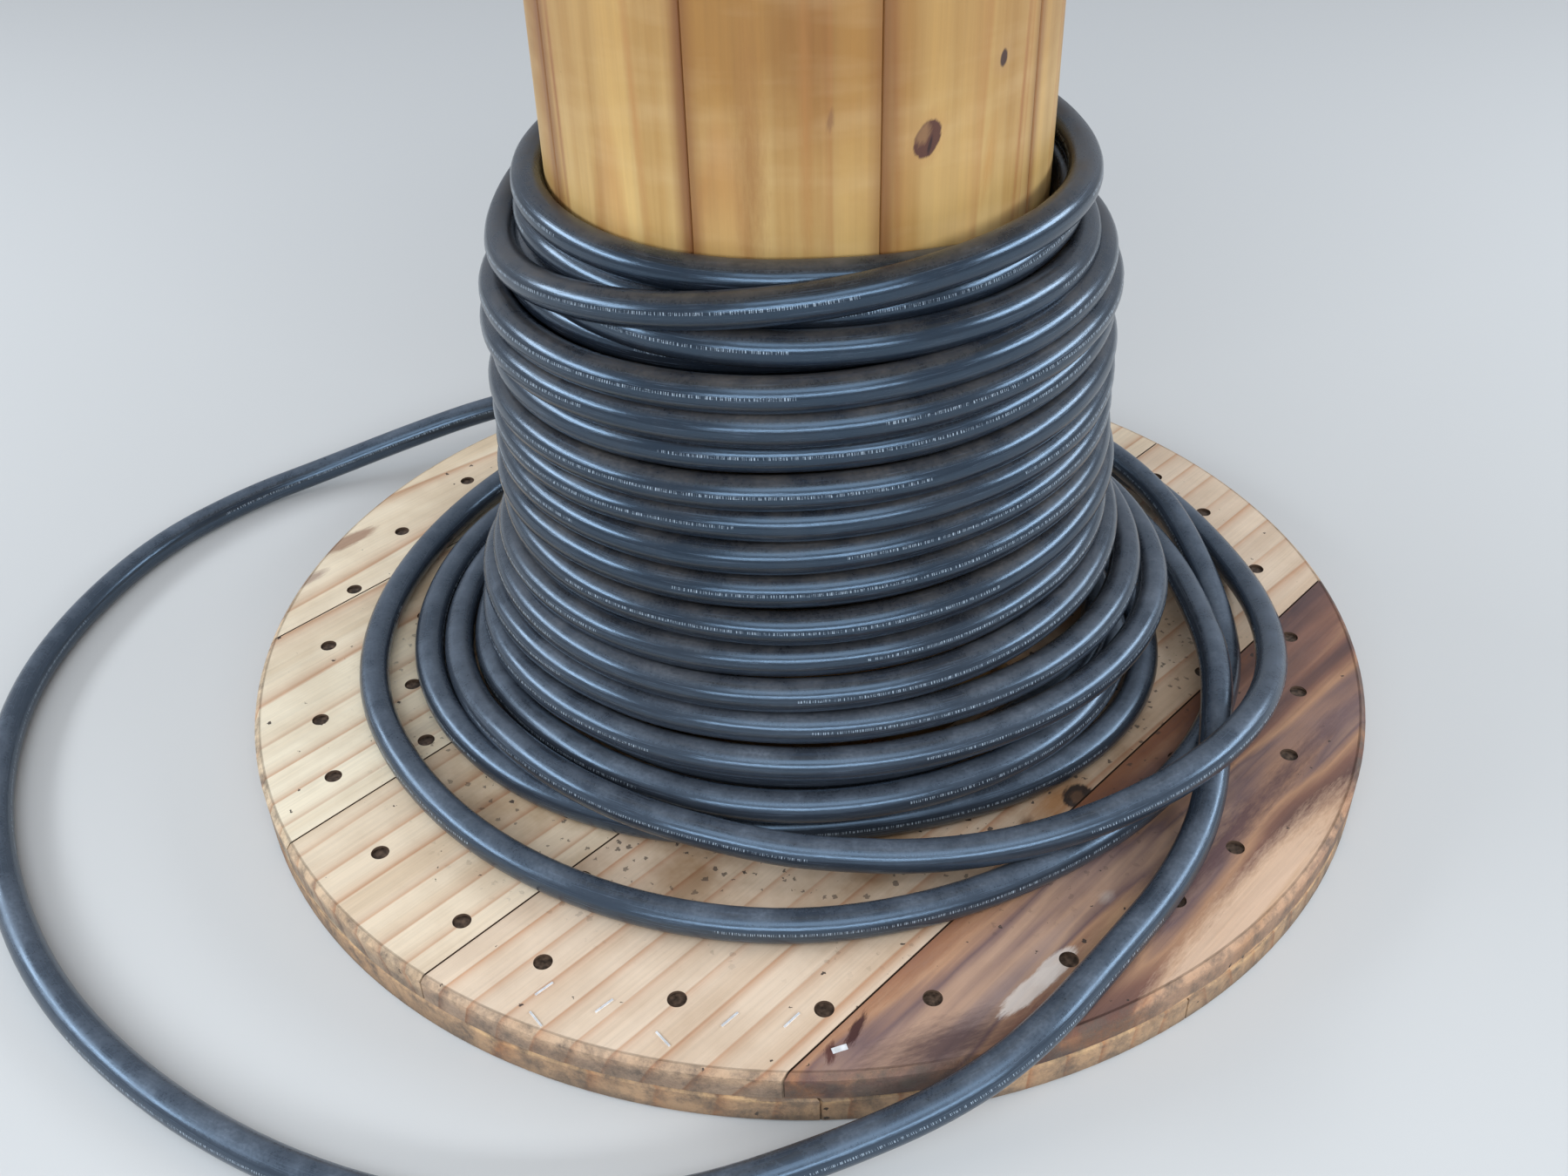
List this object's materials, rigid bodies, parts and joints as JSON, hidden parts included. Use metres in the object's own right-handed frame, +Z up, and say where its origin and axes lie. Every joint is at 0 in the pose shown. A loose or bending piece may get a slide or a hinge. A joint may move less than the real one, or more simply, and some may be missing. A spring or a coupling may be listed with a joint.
{
  "type": "wooden cable drum",
  "caption": "Wooden cable drum standing on its flange: two-ply board flanges, a staved barrel with an arbor hole, and a loose pile of black cable with a loop on the floor.",
  "frame": {"origin": "centre of the lower flange's underside, on the floor that the drum stands on", "axes": "+Z up along the drum's axis; -Y towards the viewer of the picture, where the cable's floor loop comes back over the flange"},
  "size_m": [0.9486, 0.8302, 0.686],
  "materials": {
    "flange_pine": "rough sawn and worn",
    "barrel_pine": "planed, weathered golden",
    "nail_steel": "dull",
    "bolt_steel": "zinc plated",
    "cable_jacket": "scuffed gloss"
  },
  "bodies": {
    "root": {"lower_flange_outer_board_1": "flange_pine", "lower_flange_outer_board_2": "flange_pine", "lower_flange_outer_board_3": "flange_pine", "lower_flange_outer_board_4": "flange_pine", "lower_flange_outer_board_5": "flange_pine", "lower_flange_inner_board_1": "flange_pine", "lower_flange_inner_board_2": "flange_pine", "lower_flange_inner_board_3": "flange_pine", "lower_flange_inner_board_4": "flange_pine", "lower_flange_inner_board_5": "flange_pine", "lower_flange_nails": "nail_steel", "upper_flange_outer_board_1": "flange_pine", "upper_flange_outer_board_2": "flange_pine", "upper_flange_outer_board_3": "flange_pine", "upper_flange_outer_board_4": "flange_pine", "upper_flange_outer_board_5": "flange_pine", "upper_flange_inner_board_1": "flange_pine", "upper_flange_inner_board_2": "flange_pine", "upper_flange_inner_board_3": "flange_pine", "upper_flange_inner_board_4": "flange_pine", "upper_flange_inner_board_5": "flange_pine", "upper_flange_nails": "nail_steel", "barrel_stave_1": "barrel_pine", "barrel_stave_2": "barrel_pine", "barrel_stave_3": "barrel_pine", "barrel_stave_4": "barrel_pine", "barrel_stave_5": "barrel_pine", "barrel_stave_6": "barrel_pine", "barrel_stave_7": "barrel_pine", "barrel_stave_8": "barrel_pine", "barrel_stave_9": "barrel_pine", "tie_bolt_1": "bolt_steel", "tie_nut_1": "bolt_steel", "lower_washer_1": "bolt_steel", "upper_washer_1": "bolt_steel", "tie_bolt_2": "bolt_steel", "tie_nut_2": "bolt_steel", "lower_washer_2": "bolt_steel", "upper_washer_2": "bolt_steel", "tie_bolt_3": "bolt_steel", "tie_nut_3": "bolt_steel", "lower_washer_3": "bolt_steel", "upper_washer_3": "bolt_steel", "tie_bolt_4": "bolt_steel", "tie_nut_4": "bolt_steel", "lower_washer_4": "bolt_steel", "upper_washer_4": "bolt_steel", "cable_pile": "cable_jacket", "cable_flange_loops": "cable_jacket", "cable_floor_loop": "cable_jacket"}
  },
  "joints": []
}
